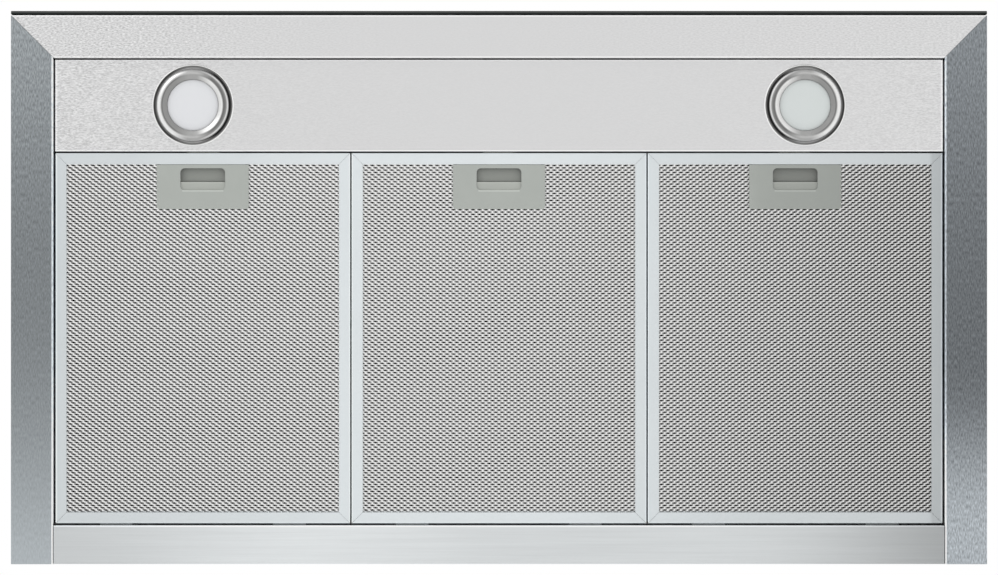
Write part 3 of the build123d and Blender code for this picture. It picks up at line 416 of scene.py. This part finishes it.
def bezel_finish(name, centre_x, outward):
    """A turned bright ring, with painted highlights and painted shade by radius.

    It has one set of painted levels of light and shade on the side away from the hood's middle, one on
    the side towards it, and one in front and behind.  outward is the sign of X on the side away from the
    middle.
    """
    s = Shade(name, (1.0, 1.0, 1.0), 0.3, metallic=1.0)
    x, radius = lamp_radius(s, centre_x)
    facing = s.math("DIVIDE", s.math("MULTIPLY", x, outward), radius)
    # Painted highlights and shadow rings by radius, for each side of the ring.
    outer_painted_light = s.curve(radius, [
        (23.4, 0.32), (27.4, 0.33), (28.3, 0.18), (29.0, 0.34), (30.0, 0.85), (31.2, 0.95),
        (32.3, 0.94), (33.2, 0.62), (34.1, 0.20), (34.9, 0.06), (36.0, 0.06), (36.4, 0.45),
        (36.8, 1.0), (37.8, 1.0),
    ], smooth=False)
    inner = s.curve(radius, [
        (23.4, 0.58), (24.2, 0.74), (26.0, 0.86), (27.1, 0.92), (27.8, 0.50), (28.4, 0.18),
        (29.4, 0.19), (30.6, 0.27), (31.3, 0.42), (31.8, 0.82), (32.4, 0.72), (33.0, 0.20),
        (33.5, 0.03), (34.8, 0.03), (35.6, 0.15), (36.3, 0.48), (36.8, 1.0), (37.8, 1.0),
    ], smooth=False)
    level = s.curve(radius, [
        (23.4, 0.38), (25.0, 0.43), (28.0, 0.42), (29.6, 0.56), (31.2, 0.44), (34.0, 0.44),
        (34.9, 0.24), (35.7, 0.18), (36.3, 0.50), (36.8, 0.85), (37.8, 0.85),
    ], smooth=False)
    side = s.blend(s.remap(facing, -0.1, 0.1, 0.0, 1.0), inner, outer_painted_light)
    aside = s.remap(s.math("ABSOLUTE", facing), 0.15, 0.6, 0.0, 1.0)
    turned = s.noise([300.0] * 3, detail=3.0)
    s.tint(s.math("MULTIPLY", s.blend(aside, level, side), s.remap(turned, 0.3, 0.7, 0.97, 1.03)))
    s.feed("Roughness", s.remap(turned, 0.3, 0.7, 0.27, 0.37))
    s.bump(turned, 0.01 * MM, 0.3, 0.2 * MM)
    return s.material


def mesh_finish(name, levels):
    """Bright expanded aluminium, for strands of one slant, with painted light and shade.

    Their painted light changes from side to side of the hood, and is full where they meet, a painted
    highlight on the bonds.
    """
    s = Shade(name, (1.0, 1.0, 1.0), 0.3, metallic=1.0)
    across = s.axis("X")
    column = s.math("FRACT", s.math("DIVIDE", across, CELL[0] / 2))
    near_bond = s.math("ABSOLUTE", s.math("SUBTRACT", column, 0.5))
    painted_falloff = s.curve(across, [(-410, 0.95), (-150, 1.0), (150, 0.98), (410, 0.74)])
    # Painted light by slant across the hood, full at the bonds as a painted highlight.
    painted_slant_light = s.blend(s.remap(near_bond, 0.2, 0.36, 0.0, 1.0), s.curve(across, levels), 1.0)
    strand = s.noise([420.0, 520.0, 520.0], detail=2.0)
    s.tint(s.product(painted_slant_light, painted_falloff, s.remap(strand, 0.3, 0.7, 0.93, 1.07)))
    s.feed("Roughness", s.remap(strand, 0.3, 0.7, 0.2, 0.34))
    s.bump(s.noise([3000.0] * 3, detail=2.0), 0.01 * MM, 0.3)
    return s.material


def inner_mesh_finish(name, color):
    """The filter's inner layers, duller, painted darker as the shade behind the face, and darker still
    towards the right.
    """
    s = Shade(name, color, 0.35, metallic=1.0)
    strand = s.noise([420.0, 520.0, 520.0], detail=2.0)
    painted_falloff = s.curve(s.axis("X"), [(-410, 1.0), (-150, 1.0), (150, 0.68), (410, 0.12)])
    s.tint(s.product(painted_falloff, s.remap(strand, 0.3, 0.7, 0.8, 1.15)))
    s.feed("Roughness", s.remap(strand, 0.3, 0.7, 0.3, 0.45))
    s.bump(s.noise([3000.0] * 3, detail=2.0), 0.01 * MM, 0.3)
    return s.material


def paint(nodes, material):
    for name in nodes:
        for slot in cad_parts[name].material_slots:
            slot.material = material


def finish_rims():
    # The side rims are lit and shaded copies of one steel: their levels are painted light and shade, the
    # right rim darker.
    left_painted_light = [
        (-255, 0.74), (-150, 0.58), (-50, 0.455), (50, 0.485), (130, 0.625), (195, 0.80), (255, 1.0),
    ]
    left_grain = [(-255, 1.0), (-130, 0.85), (0, 0.7), (130, 0.45), (255, 0.25)]
    left_steel = side_steel("side_steel_left", (0.49, 0.53, 0.56), left_painted_light, left_grain)
    paint(["side_rim_left"], left_steel)
    right_painted_light = [
        (-255, 0.58), (-150, 0.46), (-50, 0.36), (50, 0.325), (120, 0.365), (195, 0.99), (255, 0.95),
    ]
    right_grain = [(-255, 1.0), (255, 1.0)]
    right_steel = side_steel("side_steel_right", (0.49, 0.53, 0.57), right_painted_light, right_grain)
    paint(["side_rim_right"], right_steel)
    paint(["rear_rim"], brushed("rear_steel", (0.86, 0.89, 0.91), "X", grain=0.03, shade=rear_shade))
    # Places of painted highlights along the front and inner folds.
    folds = [STEEL_FRONT + LINE, OPENING_FRONT - LINE]
    grain = [
        (-410, 1.0), (-320, 1.0), (-230, 0.35), (-130, 0.08), (0, 0.04), (130, 0.15), (300, 0.4),
        (410, 0.5),
    ]
    paint(["front_rim"], pale_steel("pale_rim_steel", (0.735, 0.735, 0.745), folds, grain))


def finish_lamp_panel():
    low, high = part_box("lamp_panel")
    # Places of painted highlights along the panel's front and rear folds, and across its ends.
    folds = [low[1] + LINE, high[1] - LINE]
    grain = [(-410, 0.75), (-320, 0.7), (-230, 0.12), (0, 0.02), (230, 0.1), (330, 0.3), (410, 0.45)]
    end = PANEL_X - 1.3 * MM
    steel = pale_steel("pale_panel_steel", (0.735, 0.735, 0.745), folds, grain, end)
    paint(["lamp_panel"], steel)


def finish_other_nodes():
    paint(["control_glass"], touch_glass("black_glass"))
    body_steel = brushed("body_steel", (0.56, 0.57, 0.58), "X", roughness=0.4, grain=0.05)
    paint(["body_wrap", "body_top"], body_steel)
    paint(["lamp_partition", "wiring_box", "wiring_cover", "scroll_left", "scroll_right", "motor_bracket",
           "duct_collar"], galvanised("galvanised_steel", (0.56, 0.58, 0.60)))
    paint(["lamp_bezel_left"], bezel_finish("bright_ring_left", -LAMP_X, -1.0))
    paint(["lamp_bezel_right"], bezel_finish("bright_ring_right", LAMP_X, 1.0))
    # The right lens has a darker colour than the left, as painted shade.
    paint(["lamp_lens_left"], lens_finish("frosted_lens_left", (0.81, 0.82, 0.85), -LAMP_X))
    paint(["lamp_lens_right"], lens_finish("frosted_lens_right", (0.71, 0.75, 0.75), LAMP_X))
    paint(["lamp_can_left", "lamp_can_right"], plain_metal("cast_aluminium", (0.60, 0.61, 0.62), 0.5))
    frames = [f"filter_frame_{bay}" for bay in BAYS]
    paint(frames, frame_finish("anodised_aluminium", (0.80, 0.845, 0.87)))
    plates = [f"latch_plate_{bay}" for bay in BAYS]
    paint(plates, moulded("grey_plastic", (0.435, 0.46, 0.435), grain=0.015, shade=plate_shade))
    sliders = [f"latch_slider_{bay}" for bay in BAYS]
    paint(sliders, moulded("grey_slider", (0.45, 0.47, 0.44), grain=0.015, shade=slider_shade))
    paint(["damper_flap_front", "damper_flap_rear"], brushed("damper_aluminium", (0.72, 0.73, 0.74), "X"))
    paint(["damper_pin", "motor_shaft", "lamp_clips", "rim_screws", "motor_screws", "collar_screws"],
          plain_metal("bright_steel", (0.58, 0.58, 0.59), 0.28))
    paint(["motor"], plain_metal("motor_case", (0.16, 0.16, 0.17), 0.5))
    paint(["impeller", "control_tray", "lamp_driver"], moulded("black_plastic", (0.022, 0.022, 0.024)))
    rubber = moulded("black_rubber", (0.018, 0.018, 0.018), 0.75)
    paint(["cable_bush", "motor_grommets", "glass_tape"], rubber)
    paint(["lamp_leads", "motor_lead"], moulded("cable_sheath", (0.03, 0.03, 0.032), 0.5))
    paint(["terminal_block", "capacitor"], moulded("white_plastic", (0.72, 0.72, 0.69)))
    paint(["control_board"], moulded("green_board", (0.02, 0.16, 0.07), 0.35, grain=0.08))
    paint(["lamp_boards"], moulded("white_board", (0.75, 0.75, 0.72), 0.4))


# ---------------------------------------------------------------- expanded mesh
def expanded_sheet(box, cell, height, keep_out, slant=0.0):
    """Points, faces and slants of an expanded metal sheet: zigzag strands that meet where they turn.

    height gives Z for an array of X.  slant turns the rows a little.  The turns lie on whole
    columns of half a cell, counted from the hood's middle.
    """
    (x0, y0, _), (x1, y1, _) = box
    step, row_gap = cell[0] / 2, cell[1] / 2
    first = math.floor(x0 / step)
    columns = math.ceil(x1 / step) - first + 1
    rise = abs(math.tan(slant)) * (x1 - x0)
    rows = int(math.ceil((y1 - y0 + rise) / row_gap)) + 2
    across = STRAND / 2 * np.array([math.cos(STRAND_TILT), math.sin(STRAND_TILT)])
    through = STRAND_THICKNESS / 2 * np.array([-math.sin(STRAND_TILT), math.cos(STRAND_TILT)])
    corners = [-across - through, across - through, across + through, -across + through]
    column = first + np.arange(columns)
    xs = np.clip(column * step, x0, x1)
    points, faces, rising = [], [], []
    for row in range(rows):
        turn = np.where((column + row) % 2 == 0, 0.5, -0.5) * (row_gap - STRAND * BOND_SPACING)
        ys = y0 - rise / 2 + row * row_gap + turn + (xs - (x0 + x1) / 2) * math.tan(slant)
        inside = (ys > y0) & (ys < y1)
        (kx0, ky0), (kx1, ky1) = keep_out
        inside &= ~((xs > kx0) & (xs < kx1) & (ys > ky0) & (ys < ky1))
        zs = height(xs)
        start = len(points)
        for dy, dz in corners:
            points.extend(zip(xs, ys + dy, zs + dz))
        for n in range(columns - 1):
            if inside[n] and inside[n + 1]:
                for side in range(4):
                    a = start + side * columns + n
                    b = start + (side + 1) % 4 * columns + n
                    faces.append((a, a + 1, b + 1, b))
                    rising.append(int(turn[n] > turn[n + 1]))
    return points, faces, rising


def flat_sheet(z):
    """The height of a sheet that lies flat."""
    return lambda xs: np.full(len(xs), z)


def folded_sheet(bottom, top):
    """The height of a sheet in folds that run from front to back."""
    return lambda xs: bottom + (top - bottom) * np.abs((xs / PLEAT) % 1.0 - 0.5) * 2


def sheet_object(name, sheets, materials, body, node):
    """One mesh from several sheets, in place of a node.  Two materials are one for each slant."""
    points, faces, slants = [], [], []
    for sheet_points, sheet_faces, rising in sheets:
        base = len(points)
        points.extend(sheet_points)
        faces.extend(tuple(base + index for index in face) for face in sheet_faces)
        slants.extend(rising)
    mesh = bpy.data.meshes.new(name)
    mesh.from_pydata(points, [], faces)
    for material in materials:
        mesh.materials.append(material)
    if len(materials) > 1:
        mesh.polygons.foreach_set("material_index", slants)
    used = np.zeros(len(points), bool)
    used[np.array(faces).ravel()] = True
    piece = bpy.data.objects.new(name, mesh)
    bpy.context.scene.collection.objects.link(piece)
    drop_loose(mesh, used)
    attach(piece, body)
    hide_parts(node)


def drop_loose(mesh, used):
    """Deletes the points that no face uses."""
    form = bmesh.new()
    form.from_mesh(mesh)
    form.verts.ensure_lookup_table()
    loose = [vert for vert, keep in zip(form.verts, used) if not keep]
    bmesh.ops.delete(form, geom=loose, context="VERTS")
    form.to_mesh(mesh)
    form.free()


def add_filter_meshes():
    # Lit and shaded copies, as painted light: strands of one slant lighter on the left, of the other on
    # the right.
    falling = mesh_finish("mesh_metal_falling", [(-410, 1.0), (-140, 0.92), (140, 0.5), (410, 0.16)])
    rising = mesh_finish("mesh_metal_rising", [(-410, 0.28), (-140, 0.52), (140, 0.78), (410, 1.0)])
    # A dark colour, as painted shade behind the face.
    inner_metal = inner_mesh_finish("inner_mesh_metal", (0.40, 0.40, 0.41))
    for bay in BAYS:
        low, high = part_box(f"filter_face_{bay}")
        plate_low, plate_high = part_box(f"latch_plate_{bay}")
        keep_out = (
            (plate_low[0] + PLATE_LAP[0], -math.inf),
            (plate_high[0] - PLATE_LAP[0], plate_high[1] - PLATE_LAP[1]),
        )
        area = (
            (low[0] + MESH_MARGIN, low[1] + MESH_MARGIN, 0),
            (high[0] - MESH_MARGIN, high[1] - MESH_MARGIN, 0),
        )
        body = f"filter_{bay}"
        face = expanded_sheet(area, CELL, flat_sheet((low[2] + high[2]) / 2), keep_out)
        sheet_object(f"face_mesh_{bay}", [face], [falling, rising], body, f"filter_face_{bay}")

        layer_low, layer_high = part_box(f"filter_layers_{bay}")
        folds = folded_sheet(layer_low[2] + FOLD_BOTTOM, layer_high[2] - FOLD_TOP)
        inner = expanded_sheet(area, (CELL[0], INNER_PITCH[bay]), folds, keep_out, INNER_SLANT[bay])
        rear = expanded_sheet(area, CELL, flat_sheet(layer_high[2] - FLAT_DEPTH), keep_out)
        sheet_object(f"inner_mesh_{bay}", [inner, rear], [inner_metal], body, f"filter_layers_{bay}")


# ---------------------------------------------------------------- latch springs
def coil(centre_x, centre_z, radius, y0, y1):
    """Points and faces of a coil spring's wire, wound along Y."""
    turn = np.linspace(0.0, 2 * math.pi * SPRING_TURNS, STEPS_A_TURN * SPRING_TURNS + 1)
    rim = np.linspace(0.0, 2 * math.pi, WIRE_SIDES, endpoint=False)
    middle = radius - WIRE_RADIUS
    points, faces = [], []
    for step, angle in enumerate(turn):
        y = y0 + WIRE_RADIUS + (y1 - y0 - 2 * WIRE_RADIUS) * angle / turn[-1]
        for around in rim:
            out = middle + WIRE_RADIUS * math.cos(around)
            points.append((centre_x + out * math.cos(angle), y + WIRE_RADIUS * math.sin(around),
                           centre_z + out * math.sin(angle)))
        if step:
            last, here = (step - 1) * WIRE_SIDES, step * WIRE_SIDES
            for side in range(WIRE_SIDES):
                after = (side + 1) % WIRE_SIDES
                faces.append((last + side, last + after, here + after, here + side))
    faces.append(tuple(range(WIRE_SIDES - 1, -1, -1)))
    faces.append(tuple(range(len(points) - WIRE_SIDES, len(points))))
    return points, faces


def add_springs():
    """Two springs behind each latch slider, wound at one length: they don't shorten as the slider is
    drawn back.
    """
    wire = plain_metal("spring_wire", (0.58, 0.58, 0.59), 0.28)
    for bay in BAYS:
        low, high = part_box(f"latch_springs_{bay}")
        radius, z = (high[2] - low[2]) / 2, (high[2] + low[2]) / 2
        points, faces = [], []
        for x in (low[0] + radius, high[0] - radius):
            base = len(points)
            coil_points, coil_faces = coil(x, z, radius, low[1], high[1])
            points += coil_points
            faces += [tuple(base + index for index in face) for face in coil_faces]
        mesh = bpy.data.meshes.new(f"springs_{bay}")
        mesh.from_pydata(points, [], faces)
        mesh.materials.append(wire)
        springs = bpy.data.objects.new(f"springs_{bay}", mesh)
        bpy.context.scene.collection.objects.link(springs)
        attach(springs, f"filter_{bay}")
        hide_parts(f"latch_springs_{bay}")
        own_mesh(springs)


# ---------------------------------------------------------------- floor, light and camera
def add_floor():
    """A pale floor that can't be seen from its underside."""
    mesh = bpy.data.meshes.new("floor")
    corners = [(-1, -1), (1, -1), (1, 1), (-1, 1)]
    mesh.from_pydata([(x * FLOOR_HALF, y * FLOOR_HALF, FLOOR_Z) for x, y in corners], [], [(0, 1, 2, 3)])
    floor = bpy.data.objects.new("floor", mesh)
    bpy.context.scene.collection.objects.link(floor)
    s = Shade("pale_floor", (0.82, 0.82, 0.81), 0.8)
    grain = s.noise([40.0] * 3, detail=3.0)
    s.tint(s.remap(grain, 0.3, 0.7, 0.985, 1.015))
    clear = s.node("ShaderNodeBsdfTransparent").outputs[0]
    back = s.node("ShaderNodeNewGeometry").outputs["Backfacing"]
    mix = s.node("ShaderNodeMixShader", {0: back, 1: s.bsdf.outputs[0], 2: clear})
    s.tree.links.new(mix.outputs[0], s.tree.nodes["Material Output"].inputs["Surface"])
    mesh.materials.append(s.material)


def add_world():
    """White light from all round, set apart from what the camera, metal and glass see behind the hood.

    Both are white at a strength of 1.
    """
    world = bpy.data.worlds.new("studio")
    bpy.context.scene.world = world
    world.use_nodes = True
    tree = world.node_tree
    background = tree.nodes["Background"]
    background.inputs["Color"].default_value = (1.0, 1.0, 1.0, 1.0)
    white = tree.nodes.new("ShaderNodeBackground")
    white.inputs["Color"].default_value = (1.0, 1.0, 1.0, 1.0)
    path = tree.nodes.new("ShaderNodeLightPath")
    either = tree.nodes.new("ShaderNodeMath")
    either.operation = "MAXIMUM"
    sees = tree.nodes.new("ShaderNodeMath")
    sees.operation = "MAXIMUM"
    tree.links.new(path.outputs["Is Glossy Ray"], either.inputs[0])
    tree.links.new(path.outputs["Is Transmission Ray"], either.inputs[1])
    tree.links.new(path.outputs["Is Camera Ray"], sees.inputs[0])
    tree.links.new(either.outputs[0], sees.inputs[1])
    mix = tree.nodes.new("ShaderNodeMixShader")
    tree.links.new(sees.outputs[0], mix.inputs[0])
    tree.links.new(background.outputs[0], mix.inputs[1])
    tree.links.new(white.outputs[0], mix.inputs[2])
    tree.links.new(mix.outputs[0], tree.nodes["World Output"].inputs["Surface"])


def add_light(name, place, target, size, watts):
    light = bpy.data.lights.new(name, "AREA")
    light.shape = "RECTANGLE"
    light.size, light.size_y = size
    light.energy = watts
    lamp = bpy.data.objects.new(name, light)
    bpy.context.scene.collection.objects.link(lamp)
    way = Vector(target) - Vector(place)
    lamp.location = place
    lamp.rotation_euler = way.to_track_quat("-Z", "Y").to_euler()
    lamp.visible_camera = False


def add_camera():
    """Looks straight up at the face, with the hood as wide as in the photograph."""
    shown = HOOD_WIDTH * FRAME_PIXELS / HOOD_PIXELS
    camera = bpy.data.cameras.new("camera")
    camera.sensor_width = SENSOR
    camera.lens = SENSOR * (CAMERA_DISTANCE + WIDEST_Z) / shown
    view = bpy.data.objects.new("camera", camera)
    bpy.context.scene.collection.objects.link(view)
    view.location = (0.0, 0.0, -CAMERA_DISTANCE)
    view.rotation_euler = (math.pi, 0.0, 0.0)
    bpy.context.scene.camera = view


finish_rims()
finish_lamp_panel()
finish_other_nodes()
add_filter_meshes()
add_springs()
add_floor()
add_world()
add_light("key", (-1.6, -1.8, -1.3), (0, 0, 0), (1.6, 1.0), 5)
add_light("top", (-0.8, -1.4, 2.4), (0, 0, 0.2), (2.0, 2.0), 30)
add_camera()
bpy.context.scene.view_settings.view_transform = "Standard"
